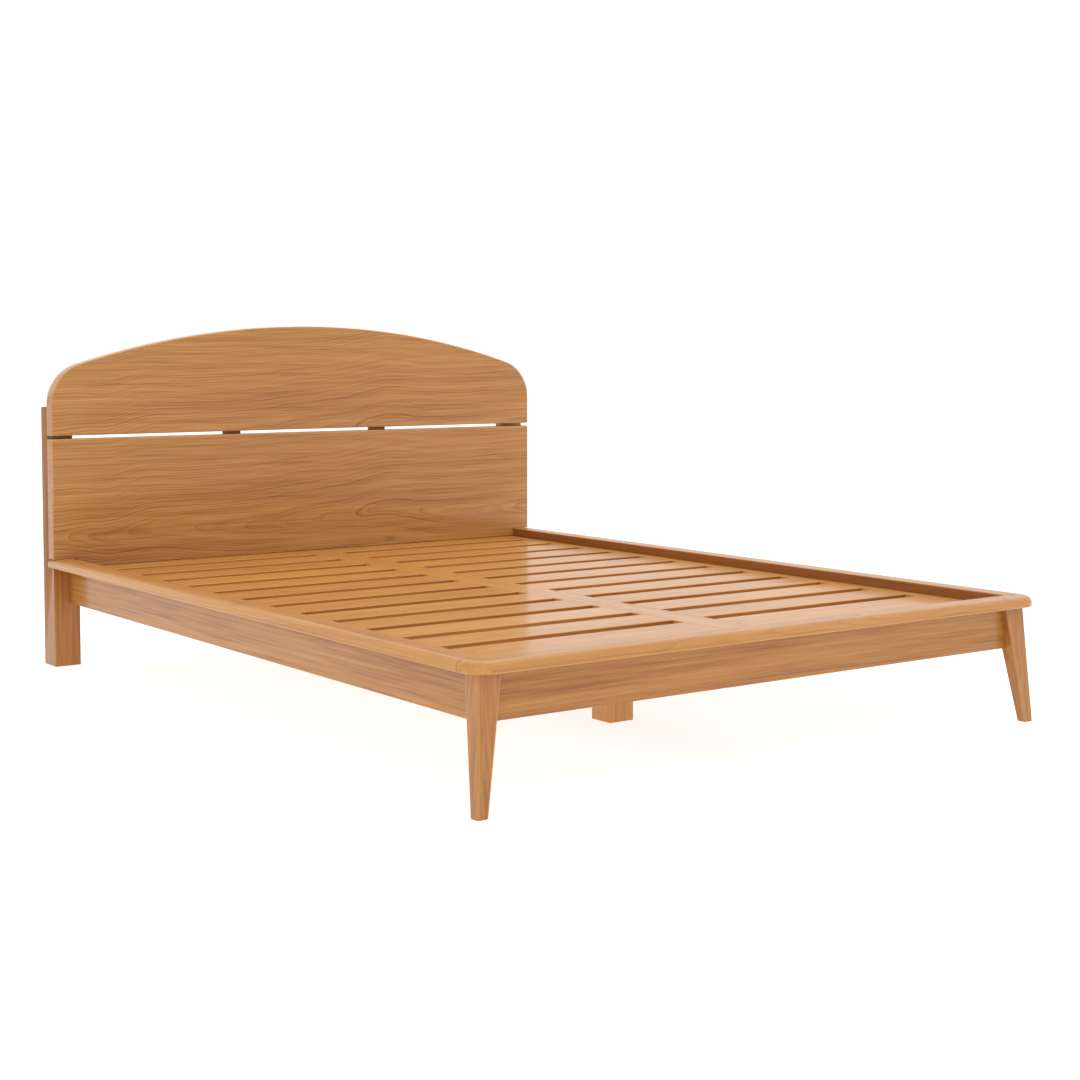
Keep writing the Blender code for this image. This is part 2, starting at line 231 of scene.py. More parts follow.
class Wire:
    def __init__(self, nodes, socket):
        self.nodes = nodes
        self.socket = socket

    def maths(self, operation, other):
        return self.nodes.add("ShaderNodeMath", {"operation": operation}, {0: self, 1: other})

    def __add__(self, other):
        return self.maths("ADD", other)

    def __sub__(self, other):
        return self.maths("SUBTRACT", other)

    def __mul__(self, other):
        return self.maths("MULTIPLY", other)

    def __truediv__(self, other):
        return self.maths("DIVIDE", other)

    def __pow__(self, other):
        return self.maths("POWER", other)

    def __rsub__(self, other):
        return self.maths("MULTIPLY", -1.0) + other

    def __rtruediv__(self, other):
        return self.nodes.add("ShaderNodeMath", {"operation": "DIVIDE"}, {0: other, 1: self})

    __radd__ = __add__
    __rmul__ = __mul__


class Nodes:
    def __init__(self, material):
        material.use_nodes = True
        self.tree = material.node_tree
        self.shader = self.tree.nodes["Principled BSDF"]

    def put(self, socket, value):
        if isinstance(value, Wire):
            self.tree.links.new(value.socket, socket)
        else:
            socket.default_value = value

    def add(self, kind, settings=None, values=None, output=0):
        node = self.tree.nodes.new(kind)
        for key, setting in (settings or {}).items():
            if key == "stops":
                while len(node.color_ramp.elements) < len(setting):
                    node.color_ramp.elements.new(0.5)
                for stop, (position, colour) in zip(node.color_ramp.elements, setting):
                    stop.position = position
                    stop.color = (*colour, 1.0)
            else:
                setattr(node, key, setting)
        for key, value in (values or {}).items():
            self.put(node.inputs[key], value)
        return Wire(self, node.outputs[output])

    def combine(self, x, y, z):
        return self.add("ShaderNodeCombineXYZ", {}, {0: x, 1: y, 2: z})

    def noise(self, place, number, detail=2.0, roughness=0.5):
        return self.add("ShaderNodeTexNoise", {"noise_dimensions": "4D"},
                        {"Vector": place, "W": number, "Scale": 1.0, "Detail": detail,
                         "Roughness": roughness})

    def figure(self, parts, rates, number, detail=2.0, roughness=0.5):
        # noise that is drawn out along the grain
        place = self.combine(*[part * rate for part, rate in zip(parts, rates)])
        return self.noise(place, number, detail, roughness)

    def vector(self, operation, first, second):
        return self.add("ShaderNodeVectorMath", {"operation": operation}, {0: first, 1: second})

    def split(self, place):
        return [self.add("ShaderNodeSeparateXYZ", {}, {0: place}, axis) for axis in "XYZ"]

    def ramp(self, value, stops):
        return self.add("ShaderNodeValToRGB", {"stops": stops}, {0: value})

    def clip(self, value, low, high):
        # 0 below low, 1 above high, and an even slope between them
        return self.add("ShaderNodeMapRange", {"clamp": True},
                        {"Value": value, "From Min": low, "From Max": high})

    def tint(self, factor, first, second, mode="MIX"):
        return self.add("ShaderNodeMix", {"data_type": "RGBA", "blend_type": mode},
                        {0: factor, 6: first, 7: second}, 2)


# wood

def plainColour(red, green, blue):
    # screen values from 0 to 255 to the light values that the shader works in
    return tuple(((c / 255 + 0.055) / 1.055) ** 2.4 for c in (red, green, blue))


def makeWood(name, look):
    material = bpy.data.materials.new(name)
    n = Nodes(material)
    seed = n.add("ShaderNodeAttribute", {"attribute_name": "boardSeed"}, {}, "Fac")
    wear = n.add("ShaderNodeAttribute", {"attribute_name": "edgeWear"}, {}, "Fac")
    shadedSide = n.add("ShaderNodeAttribute", {"attribute_name": "sawnSide"}, {}, "Fac")
    toMiddle = n.add("ShaderNodeAttribute", {"attribute_name": "boardPlace"}, {}, "Vector")
    where = n.add("ShaderNodeTexCoord", {}, {}, "Object")
    axes = dict(zip("XYZ", n.split(n.vector("ADD", where, toMiddle))))
    parts = [axes[letter] for letter in look["axes"]]
    along, across, deep = parts

    # the growth rings: circles round a slanting heart line, pushed about by slow noise
    # each noise is read at its own number, so that none repeats another
    sway = n.figure(parts, (look["swayRate"], *grainRates["sway"]), seed) - 0.5
    ripple = n.figure(parts, grainRates["ripple"], seed + 7.3) - 0.5
    jag = n.figure(parts, grainRates["jag"], seed + 41.0) - 0.5
    heave = n.noise(n.combine(along * look["heaveRate"], 0.0, 0.0), seed + 3.1) - 0.5
    side = across + look["heartSide"] + sway * look["sway"] + ripple * look["ripple"] + jag * look["jag"]
    for middle, reach, rise in look["humps"]:
        bend = (along - middle) / reach
        side = side - rise / (bend * bend + 1.0)
    depth = deep + along * look["slant"] + heave * look["heave"] + look["heartDepth"]
    radius = (side * side + depth * depth) ** 0.5

    # one ring: slow light growth, then a thin dark line that ends sharply
    count = (radius + along * look["taper"]) * look["ringsPerMetre"]
    uneven = n.noise(n.combine(along * 0.7, count * 0.31, 0.0), seed + 11.0)
    phase = n.add("ShaderNodeMath", {"operation": "FRACT"}, {0: count + uneven * look["unevenRings"]})
    lateLine = phase ** look["lineSharpness"] * n.clip(uneven, 0.36, 0.62)
    bands = n.noise(n.combine(along * 0.6, count * 0.9, deep * 3.0), seed + 17.0, 3.0)

    # fibres, pores and slow stain
    fibre = n.figure(parts, grainRates["fibre"], seed + 23.0, 4.0, 0.6)
    streak = n.figure(parts, grainRates["streak"], seed + 29.0, 3.0, 0.6)
    pore = n.clip(n.figure(parts, grainRates["pore"], seed + 31.0, 1.0), 0.66, 0.78)
    stain = n.figure(parts, grainRates["stain"], seed + 37.0)

    # a few pin knots
    cells = n.combine(along * look["knotRate"], across * look["knotRate"] * look["knotStretch"], seed)
    knotGap = n.add("ShaderNodeTexVoronoi", {}, {"Vector": cells, "Scale": 1.0}, "Distance")
    knot = (1 - n.clip(knotGap, *look["knotSize"])) * look["knot"]

    tone = (0.5 + (bands - 0.5) * look["bands"] + (streak - 0.5) * look["streaks"]
            + (fibre - 0.5) * look["fibres"] + (stain - 0.5) * look["stain"])
    colour = n.ramp(tone, list(zip(look["tones"], look["colours"])))
    dark = look["lineColour"]
    colour = n.tint(lateLine * look["lines"], colour, dark, "MULTIPLY")
    colour = n.tint(pore * look["pores"], colour, dark, "MULTIPLY")
    colour = n.tint(knot, colour, look["knotColour"])
    board = n.noise(n.combine(seed, seed * 0.37, 0.0), 5.0) - 0.5
    colour = n.tint(n.clip(board, -0.25, 0.25) * look["boardShade"], colour, look["boardTint"], "MULTIPLY")
    # painted shade: the sides marked as lying in shade are darkened here
    colour = n.tint(shadedSide * look["sideShadeDepth"], colour, look["sideShadeColour"], "MULTIPLY")
    colour = n.tint(wear * look["edgeWear"], colour, look["edgeColour"])
    n.put(n.shader.inputs["Base Color"], colour)

    shine = look["roughness"] + (fibre - 0.5) * 0.12 + lateLine * 0.05 + pore * 0.1 - wear * 0.04
    n.put(n.shader.inputs["Roughness"], shine)
    n.shader.inputs["Specular IOR Level"].default_value = look["shine"]
    n.shader.inputs["Coat Weight"].default_value = look["varnish"]
    n.shader.inputs["Coat Roughness"].default_value = look["varnishRoughness"]
    relief = fibre * 0.6 - lateLine * 0.15 - pore * 0.5
    bump = n.add("ShaderNodeBump", {}, {"Strength": look["relief"], "Distance": look["reliefDepth"],
                                       "Height": relief}, "Normal")
    n.put(n.shader.inputs["Normal"], bump)
    return material


grainRates = {      # how often each kind of mark comes in a metre: along, across and into the board
    "sway": (1.3, 1.0),         # along the grain it has each look's own rate
    "ripple": (5.0, 11.0, 6.0), "jag": (17.0, 40.0, 20.0),
    "fibre": (4.0, 160.0, 160.0), "streak": (1.6, 46.0, 46.0),
    "pore": (45.0, 900.0, 900.0), "stain": (1.1, 3.0, 3.0),
}

honey = {
    "axes": "XYZ",              # along the grain, across the face, into the board
    "swayRate": 0.9, "sway": 0.10, "ripple": 0.010, "jag": 0.003,
    "heaveRate": 2.2, "heave": 0.030,
    "humps": (),                # middle, reach and rise of each place where the grain lifts
    "taper": 0.0,               # how fast the trunk thins along the board
    "slant": 0.035, "heartSide": 0.0, "heartDepth": 0.060,
    "ringsPerMetre": 140.0, "lineSharpness": 4.0, "lines": 0.42,
    "bands": 0.45, "streaks": 0.45, "fibres": 0.6, "stain": 0.35, "pores": 0.22,
    "unevenRings": 1.6,
    "knotRate": 1.3, "knotStretch": 2.6, "knot": 0.0, "knotSize": (0.012, 0.055),
    "knotColour": (0.16, 0.08, 0.035, 1.0),
    "tones": (0.18, 0.5, 0.82),
    "colours": (plainColour(204, 148, 82), plainColour(188, 128, 64), plainColour(160, 100, 44)),
    "lineColour": (0.52, 0.40, 0.30, 1.0),
    # painted shade for the sides that lie in shade: how strongly, and the colour they are darkened by
    "sideShadeDepth": 1.0, "sideShadeColour": (0.62, 0.50, 0.42, 1.0),
    "boardShade": 0.8, "boardTint": (0.86, 0.80, 0.74, 1.0),
    "edgeWear": 0.3, "edgeColour": (*plainColour(212, 158, 94), 1.0),
    "roughness": 0.42, "shine": 0.25, "varnish": 0.50, "varnishRoughness": 0.15,
    "relief": 0.25, "reliefDepth": 0.0006,
}

deckColours = (plainColour(218, 162, 84), plainColour(204, 143, 66), plainColour(174, 112, 44))
# the aprons' own wood colours, made darker as painted shade for the shade under the caps
apronColoursShadeDarkened = (plainColour(196, 140, 74), plainColour(181, 123, 57), plainColour(152, 94, 39))
apronGrain = {"colours": apronColoursShadeDarkened, "knot": 0.5, "knotRate": 1.8, "ripple": 0.008, "sway": 0.05,
              "jag": 0.002, "streaks": 0.9, "heartSide": 0.16, "heartDepth": 0.05,
              "ringsPerMetre": 230.0, "lines": 0.34, "lineSharpness": 2.6, "bands": 0.25,
              "fibres": 1.3}
legColours = (plainColour(190, 134, 72), plainColour(176, 118, 57), plainColour(150, 92, 40))

woodLooks = {
    "headboardWood": {
        **honey, "axes": "XZY", "swayRate": 1.6, "sway": 0.040, "ripple": 0.014, "jag": 0.007,
        "heaveRate": 6.0, "heave": 0.030, "slant": -0.012, "heartDepth": 0.045,
        "humps": ((0.28, 0.12, 0.030), (-0.66, 0.07, -0.014), (-0.52, 0.09, 0.012)),
        "taper": -0.055,
        "ringsPerMetre": 125.0, "lines": 0.72, "lineSharpness": 3.2,
        "streaks": 0.62, "bands": 0.55, "fibres": 0.85, "knot": 0.55, "knotRate": 1.9, "sideShadeDepth": 0.4,
        "colours": (plainColour(206, 153, 90), plainColour(186, 131, 70), plainColour(152, 98, 44)),
    },
    "capWoodAlong": {**honey, "axes": "YXZ", "boardShade": 0.15, "varnish": 0.38},
    "capWoodAcross": {**honey, "axes": "XYZ", "boardShade": 0.15, "varnish": 0.38, "slant": 0.05,
                      "heartDepth": 0.02, "heave": 0.05, "lines": 0.5},
    "slatWood": {**honey, "axes": "XYZ", "colours": deckColours, "varnish": 0.42},
    "stileWood": {**honey, "axes": "YXZ", "colours": deckColours, "varnish": 0.42},
    "apronWoodAlong": {**honey, "axes": "YZX", **apronGrain},
    "apronWoodAcross": {**honey, "axes": "XZY", **apronGrain},
    "legWood": {**honey, "axes": "ZXY", "colours": legColours, "heartSide": 0.09, "heartDepth": 0.09,
                "sway": 0.02, "ripple": 0.003, "jag": 0.001, "ringsPerMetre": 250.0, "lineSharpness": 2.6,
                "streaks": 0.8, "fibres": 1.1, "sideShadeDepth": 0.4},
    "propWood": {**honey, "axes": "ZXY", "heartDepth": 0.09, "varnish": 0.2, "colours": (
        plainColour(226, 176, 118), plainColour(212, 158, 98), plainColour(184, 128, 72))},
    "plainWood": {
        **honey, "axes": "YXZ", "varnish": 0.15, "varnishRoughness": 0.3, "roughness": 0.55,
        "colours": (plainColour(205, 160, 112), plainColour(188, 138, 90), plainColour(160, 110, 66)),
    },
    "plainWoodUpright": {
        **honey, "axes": "ZXY", "varnish": 0.15, "varnishRoughness": 0.3, "roughness": 0.55,
        "colours": (plainColour(170, 115, 70), plainColour(150, 96, 55), plainColour(125, 76, 42)),
    },
}


def makeSteel(name, look):
    material = bpy.data.materials.new(name)
    n = Nodes(material)
    where = n.add("ShaderNodeTexCoord", {}, {}, "Object")
    wear = n.add("ShaderNodeAttribute", {"attribute_name": "edgeWear"}, {}, "Fac")
    cloud = n.noise(n.vector("MULTIPLY", where, look["cloudRates"]), 2.0, 3.0)
    n.put(n.shader.inputs["Base Color"], n.ramp(cloud + wear * look["edgeWear"], look["stops"]))
    n.put(n.shader.inputs["Roughness"], look["roughness"] + cloud * look["uneven"])
    n.shader.inputs["Metallic"].default_value = 1.0
    return material


boltSteel = {
    "stops": [(0.3, (0.10, 0.10, 0.105)), (0.6, (0.19, 0.19, 0.19)), (0.9, (0.45, 0.44, 0.42))],
    "cloudRates": (300.0, 300.0, 300.0), "edgeWear": 0.25, "roughness": 0.28, "uneven": 0.2,
}


# joinery by hand

overrun = 0.01      # how far a cutter runs past the wood it cuts
square = 0.9        # a face counts as facing one way above this, an edge as running one way
straight = 0.99     # the same for an edge that has to run dead along an axis
onFace = 0.001      # an edge nearer than this to a face's plane lies on it
hair = 1e-5         # the same, for something as small as a bolt


def addEmptySlots(obj):
    # two empty material places, so that the bevel can mark its own faces
    obj.data.materials.append(None)
    obj.data.materials.append(None)


def startBlock(low, high):
    clearSelection()
    middle = [(a + b) / 2 for a, b in zip(low, high)]
    size = [b - a for a, b in zip(low, high)]
    bpy.ops.mesh.primitive_cube_add(size=1, location=middle, scale=size)
    bpy.ops.object.transform_apply(location=True, rotation=True, scale=True)
    block = bpy.context.active_object
    addEmptySlots(block)
    return block


def openForEdit(obj, mode):
    makeActive(obj)
    bpy.ops.object.mode_set(mode="EDIT")
    bpy.ops.mesh.select_mode(type=mode)
    bpy.ops.mesh.select_all(action="DESELECT")
    bpy.ops.object.mode_set(mode="OBJECT")


def pickFaces(obj, wanted):
    # wanted is asked with each face's middle and the way it faces
    openForEdit(obj, "FACE")
    for polygon in obj.data.polygons:
        polygon.select = bool(wanted(polygon.center, polygon.normal))
    bpy.ops.object.mode_set(mode="EDIT")


def pickEdges(obj, wanted):
    # wanted is asked with each edge's middle and its run from end to end
    openForEdit(obj, "EDGE")
    corners = obj.data.vertices
    for edge in obj.data.edges:
        start, end = [corners[index].co for index in edge.vertices]
        edge.select = bool(wanted((start + end) / 2, end - start))
    bpy.ops.object.mode_set(mode="EDIT")


def roundEdges(obj, wanted, width, steps):
    pickEdges(obj, wanted)
    bpy.ops.mesh.bevel(offset=width, segments=steps, affect="EDGES", material=1)
    bpy.ops.object.mode_set(mode="OBJECT")


def runsAlong(axis):
    return lambda middle, run: abs(run[axis]) > straight * run.length


def pushFaces(obj, wanted, shift):
    pickFaces(obj, wanted)
    bpy.ops.mesh.extrude_region_move(TRANSFORM_OT_translate={"value": shift})
    bpy.ops.object.mode_set(mode="OBJECT")


def sawOff(obj, cuts, keepBoth=False):
    # each cut is a point and the way the waste lies
    makeActive(obj)
    bpy.ops.object.mode_set(mode="EDIT")
    for point, waste in cuts:
        bpy.ops.mesh.select_all(action="SELECT")
        bpy.ops.mesh.bisect(plane_co=point, plane_no=waste, use_fill=not keepBoth,
                            clear_outer=not keepBoth)
    bpy.ops.object.mode_set(mode="OBJECT")


def cutAway(obj, cutter):
    boolean = obj.modifiers.new("cutAway", "BOOLEAN")
    boolean.operation = "DIFFERENCE"
    boolean.solver = "EXACT"
    boolean.object = cutter
    applyModifiers(obj)
    bpy.data.objects.remove(cutter)


def startRod(middle, radius, length, sides):
    clearSelection()
    bpy.ops.mesh.primitive_cylinder_add(vertices=sides, radius=radius, depth=length,
                                        location=middle, rotation=(math.pi / 2, 0, 0))
    bpy.ops.object.transform_apply(location=True, rotation=True, scale=True)
    rod = bpy.context.active_object
    addEmptySlots(rod)
    return rod


def copyPiece(obj, shift):
    twin = obj.copy()
    twin.data = obj.data.copy()
    bpy.context.scene.collection.objects.link(twin)
    makeActive(twin)
    twin.location = shift
    bpy.ops.object.transform_apply(location=True, rotation=False, scale=False)
    return twin


def finishPiece(obj, nodeName, wood, ease, steps=2):
    if ease:
        easeEdges(obj, ease, steps)
    dress(obj, nodeName, wood)
    seat(obj, nodeName.replace("_", "-"), nodeName)


# headboard

headboard = {
    "archTop": 0.968, "archRadius": 2.5, "shoulderRadius": 0.125,
    "archCuts": 35,             # odd, so that no cut falls right in the block's flat top
    "shoulderCuts": 14,
    "easedEdge": 0.0035, "battenEdge": 0.0015, "battenEnd": 0.0006,
    "figureNumber": 4.0,
    "figureHeight": 0.37,       # the wild figure's height in the lower board
    "figureStep": 0.271,        # how much higher the same figure lies in the upper board
    "housingSlack": 0.0003,
}


def archPlanes(s, halfWidth, depth):
    # planes that touch the long arch and the two round shoulders
    centreZ = s["archTop"] - s["archRadius"]
    shoulderX = halfWidth - s["shoulderRadius"]
    rise = math.sqrt((s["archRadius"] - s["shoulderRadius"]) ** 2 - shoulderX ** 2)
    lean = math.atan2(shoulderX, rise)          # where the arch runs into a shoulder
    cuts = []
    for step in range(s["archCuts"] + 1):
        turn = -lean + 2 * lean * step / s["archCuts"]
        waste = (math.sin(turn), 0, math.cos(turn))
        point = (s["archRadius"] * waste[0], depth, centreZ + s["archRadius"] * waste[2])
        cuts.append((point, waste))
    for hand in (-1, 1):
        for step in range(1, s["shoulderCuts"]):
            turn = lean + (math.pi / 2 - lean) * step / s["shoulderCuts"]
            waste = (hand * math.sin(turn), 0, math.cos(turn))
            point = (hand * shoulderX + s["shoulderRadius"] * waste[0], depth,
                     centreZ + rise + s["shoulderRadius"] * waste[2])
            cuts.append((point, waste))
    return cuts


def houseBattens(board, s):
    for batten in ("headboard_batten_left", "headboard_batten_right"):
        low, high = cornersOf(batten)
        slack = s["housingSlack"]
        cutAway(board, startBlock([low[0] - slack, low[1] - slack, low[2] - slack],
                                  [high[0] + slack, high[1] + overrun, high[2] + slack]))


def finishHeadboard(board, nodeName, s, figureHeight):
    levelNormals(board)
    paintWear(board)
    # painted shade on the board's ends
    paintShadedSides(board, lambda middle, facing: abs(facing[0]) > square)
    low, high = cornersOf(nodeName)
    # both boards come from one wide leaf, so they share one figure
    markBoard(board, [0, low[1], figureHeight], [0, high[1], figureHeight], s["figureNumber"])
    board.data.materials.clear()
    board.data.materials.append(woods["headboardWood"])
    seat(board, nodeName.replace("_", "-"), nodeName)


def makeHeadboard(s):
    low, high = cornersOf("headboard_upper_panel")
    upper = startBlock(low, high)
    sawOff(upper, archPlanes(s, high[0], low[1]))
    easeEdges(upper, s["easedEdge"], 3)
    houseBattens(upper, s)
    finishHeadboard(upper, "headboard_upper_panel", s, s["figureHeight"] + s["figureStep"])

    low, high = cornersOf("headboard_lower_panel")
    lower = startBlock(low, high)
    easeEdges(lower, s["easedEdge"], 3)
    for capName in ("side_cap_left", "side_cap_right"):
        capLow, capHigh = cornersOf(capName)
        slack = s["housingSlack"]
        cutAway(lower, startBlock([capLow[0] - slack, capLow[1], low[2] - overrun],
                                  [capHigh[0] + overrun, high[1] + overrun, capHigh[2] + slack]))
    houseBattens(lower, s)
    finishHeadboard(lower, "headboard_lower_panel", s, s["figureHeight"])

    for nodeName in ("headboard_batten_left", "headboard_batten_right"):
        batten = startBlock(*cornersOf(nodeName))
        roundEdges(batten, runsAlong(2), s["battenEdge"], 2)
        finishPiece(batten, nodeName, woods["plainWoodUpright"], s["battenEnd"], 1)
    print("headboard made")


# posts and the bed bolts

post = {"stepHeight": 0.2797, "roundedEdge": 0.0025, "endEase": 0.0015,
        "boltHeights": (0.204, 0.250), "holeRadius": 0.0045, "holeLength": 0.2,
        "recessRadius": 0.011, "recessDepth": 0.010}

bolt = {"headRadius": 0.0095, "headHeight": 0.006, "shaftRadius": 0.004,
        "hexAcross": 0.003, "hexDepth": 0.0035, "headEase": 0.0012, "tipEase": 0.0008,
        "smoothAngle": 35}


def makePost(nodeName, s):
    low, high = cornersOf(nodeName)
    boardBack = cornersOf("headboard_lower_panel")[1][1] + headboard["housingSlack"]
    leg = startBlock(low, high)
    roundEdges(leg, runsAlong(2), s["roundedEdge"], 3)
    easeEdges(leg, s["endEase"], 2)
    # the notch that the cap and the boards sit in
    cutAway(leg, startBlock([low[0] - overrun, low[1] - overrun, s["stepHeight"]],
                            [high[0] + overrun, boardBack, high[2] + overrun]))
    boltLow, boltHigh = cornersOf("bed_bolt_left_lower" if low[0] < 0 else "bed_bolt_right_lower")
    boltX = (boltLow[0] + boltHigh[0]) / 2
    middleY = (low[1] + high[1]) / 2
    for height in s["boltHeights"]:
        cutAway(leg, startRod((boltX, middleY, height), s["holeRadius"], s["holeLength"], 32))
        cutAway(leg, startRod((boltX, high[1], height), s["recessRadius"], 2 * s["recessDepth"], 48))
    # painted shade on the post's sides
    paintShadedSides(leg, lambda middle, facing: abs(facing[0]) > square)
    finishPiece(leg, nodeName, woods["legWood"], 0)


def makeBolts(s):
    # one bolt is made at the lower left, and the other three are copies of it
    low, high = cornersOf("bed_bolt_left_lower")
    middleX, middleZ = (low[0] + high[0]) / 2, (low[2] + high[2]) / 2
    underHead = high[1] - s["headHeight"]
    headMiddle = (middleX, high[1] - s["headHeight"] / 2, middleZ)
    first = startRod(headMiddle, s["headRadius"], s["headHeight"], 48)
    pickFaces(first, lambda middle, facing: facing[1] < -square)
    bpy.ops.mesh.inset(thickness=s["headRadius"] - s["shaftRadius"])
    bpy.ops.mesh.extrude_region_move(TRANSFORM_OT_translate={"value": (0, low[1] - underHead, 0)})
    bpy.ops.object.mode_set(mode="OBJECT")
    cutAway(first, startRod((middleX, high[1], middleZ), s["hexAcross"], 2 * s["hexDepth"], 6))
    roundEdges(first, lambda middle, run: middle[1] > high[1] - hair
               and math.hypot(middle[0] - middleX, middle[2] - middleZ) > s["hexAcross"] * 2,
               s["headEase"], 3)
    roundEdges(first, lambda middle, run: middle[1] < low[1] + hair, s["tipEase"], 2)
    makeActive(first)
    bpy.ops.object.shade_smooth_by_angle(angle=math.radians(s["smoothAngle"]))
    bolts = {"bed_bolt_left_lower": first}
    for nodeName in ("bed_bolt_left_upper", "bed_bolt_right_lower", "bed_bolt_right_upper"):
        otherLow = cornersOf(nodeName)[0]
        bolts[nodeName] = copyPiece(first, [b - a for a, b in zip(low, otherLow)])
    for nodeName, each in bolts.items():
        finishPiece(each, nodeName, woods["boltSteel"], 0)
    print("bolts made")


# foot legs

footLeg = {
    "topSection": (0.7355, 0.7960, 0.0325, 0.0797),     # inner, outer, front and back edge
    "floorSection": (0.7830, 0.8110, 0.0100, 0.0370),
    "fullHeight": 0.2797,       # where the top section is reached
    "roundedEdge": 0.006, "endEase": 0.0012,
}


def legSection(s, height, slack):
    share = height / s["fullHeight"]
    inner, outer, front, back = [a + (b - a) * share for a, b in zip(s["floorSection"], s["topSection"])]
    return inner - slack, outer + slack, front - slack, back + slack


def shapeLeg(s, hand, low, high, slack=0.0):
    # a block of the top section, whose lower end is then pinched and slid outwards
    foot = cornersOf("foot_cap")[0][1]
    lower = legSection(s, low, slack)
    upper = legSection(s, high, slack)
    leg = startBlock([min(hand * upper[0], hand * upper[1]), foot + upper[2], low],
                     [max(hand * upper[0], hand * upper[1]), foot + upper[3], high])
    pickFaces(leg, lambda middle, facing: facing[2] < -square)
    upperMiddle = (hand * (upper[0] + upper[1]) / 2, foot + (upper[2] + upper[3]) / 2, low)
    lowerMiddle = (hand * (lower[0] + lower[1]) / 2, foot + (lower[2] + lower[3]) / 2, low)
    pinch = ((lower[1] - lower[0]) / (upper[1] - upper[0]),
             (lower[3] - lower[2]) / (upper[3] - upper[2]), 1)
    bpy.ops.transform.resize(value=pinch, center_override=upperMiddle)
    bpy.ops.transform.translate(value=[b - a for a, b in zip(upperMiddle, lowerMiddle)])
    bpy.ops.object.mode_set(mode="OBJECT")
    return leg


def makeFootLegs(s):
    for nodeName, hand in (("foot_leg_left", -1), ("foot_leg_right", 1)):
        low, high = cornersOf(nodeName)
        leg = shapeLeg(s, hand, low[2], high[2])
        roundEdges(leg, lambda middle, run: abs(run[2]) > (high[2] - low[2]) / 2, s["roundedEdge"], 4)
        finishPiece(leg, nodeName, woods["legWood"], s["endEase"])
    print("foot legs made")


# aprons, the rails under the caps

apron = {"easedEdge": 0.0015, "endEase": 0.0006, "legSlack": 0.0003, "tongueDepth": 0.0597,
         "bodyEnd": 0.7494}


def makeAprons(s):
    low, high = cornersOf("foot_apron")
    foot = cornersOf("foot_cap")[0][1]
    front = startBlock(low, high)
    roundEdges(front, runsAlong(0), s["easedEdge"], 3)
    for hand in (-1, 1):
        # the back half stops between the side aprons, and the front half reaches into the legs
        inner, outer = sorted((hand * s["bodyEnd"], hand * (high[0] + overrun)))
        cutAway(front, startBlock([inner, foot + s["tongueDepth"], low[2] - overrun],
                                  [outer, high[1] + overrun, high[2] + overrun]))
        cutAway(front, shapeLeg(footLeg, hand, low[2] - overrun, high[2] + overrun, s["legSlack"]))
    finishPiece(front, "foot_apron", woods["apronWoodAcross"], 0)

    for nodeName, hand in (("side_apron_left", -1), ("side_apron_right", 1)):
        low, high = cornersOf(nodeName)
        side = startBlock(low, high)
        roundEdges(side, runsAlong(1), s["easedEdge"], 3)
        cutAway(side, shapeLeg(footLeg, hand, low[2] - overrun, high[2] + overrun, s["legSlack"]))
        for height in post["boltHeights"]:
            boltX = (low[0] + high[0]) / 2
            cutAway(side, startRod((boltX, high[1], height), post["holeRadius"], post["holeLength"], 24))
        finishPiece(side, nodeName, woods["apronWoodAlong"], 0)

    head = startBlock(*cornersOf("head_apron"))
    roundEdges(head, runsAlong(0), s["easedEdge"], 3)
    finishPiece(head, "head_apron", woods["apronWoodAcross"], s["endEase"], 1)
    print("aprons made")


# caps, the flat rim round the mattress

cap = {"cornerRadius": 0.058, "cornerSteps": 18, "roundOver": 0.016, "easedEdge": 0.003,
       "jointGap": 0.0003}


def makeCaps(s):
    low, high = cornersOf("foot_cap")
    foot = startBlock(low, high)
    roundEdges(foot, lambda middle, run: abs(run[2]) > square * run.length and middle[1] < low[1] + onFace,
               s["cornerRadius"], s["cornerSteps"])
    for polygon in foot.data.polygons:
        polygon.material_index = 0
    roundEdges(foot, lambda middle, run: middle[2] > high[2] - onFace and middle[1] < high[1] - onFace,
               s["roundOver"], 8)
    finishPiece(foot, "foot_cap", woods["capWoodAcross"], s["easedEdge"], 4)
    for nodeName in ("side_cap_left", "side_cap_right"):
        low, high = cornersOf(nodeName)
        side = startBlock([low[0], low[1] - s["jointGap"], low[2]], high)     # glued to the foot cap
        outer = high[0] if high[0] > 0 else low[0]
        roundEdges(side, lambda middle, run: runsAlong(1)(middle, run) and middle[2] > high[2] - onFace
                   and abs(middle[0] - outer) < onFace, s["roundOver"], 8)
        roundEdges(side, lambda middle, run: runsAlong(1)(middle, run)
                   and (middle[2] < low[2] + onFace or abs(middle[0] - outer) > s["roundOver"] * 2),
                   s["easedEdge"], 4)
        # painted shade on the cap's inner face
        paintShadedSides(side, lambda middle, facing: facing[0] * outer < -0.7 * abs(outer))
        finishPiece(side, nodeName, woods["capWoodAlong"], 0)
    print("caps made")


# slatted deck

slat = {"count": 14, "easedEdge": 0.0018, "endEase": 0.0006}

stile = {"easedEdge": 0.0012, "endEase": 0.0005}


def makeSlat(nodeName, s):
    board = startBlock(*cornersOf(nodeName))
    roundEdges(board, runsAlong(0), s["easedEdge"], 3)
    easeEdges(board, s["endEase"], 1)
    # painted shade on the slat's sides, the walls of the slots
    paintShadedSides(board, lambda middle, facing: abs(facing[1]) > square)
    return board


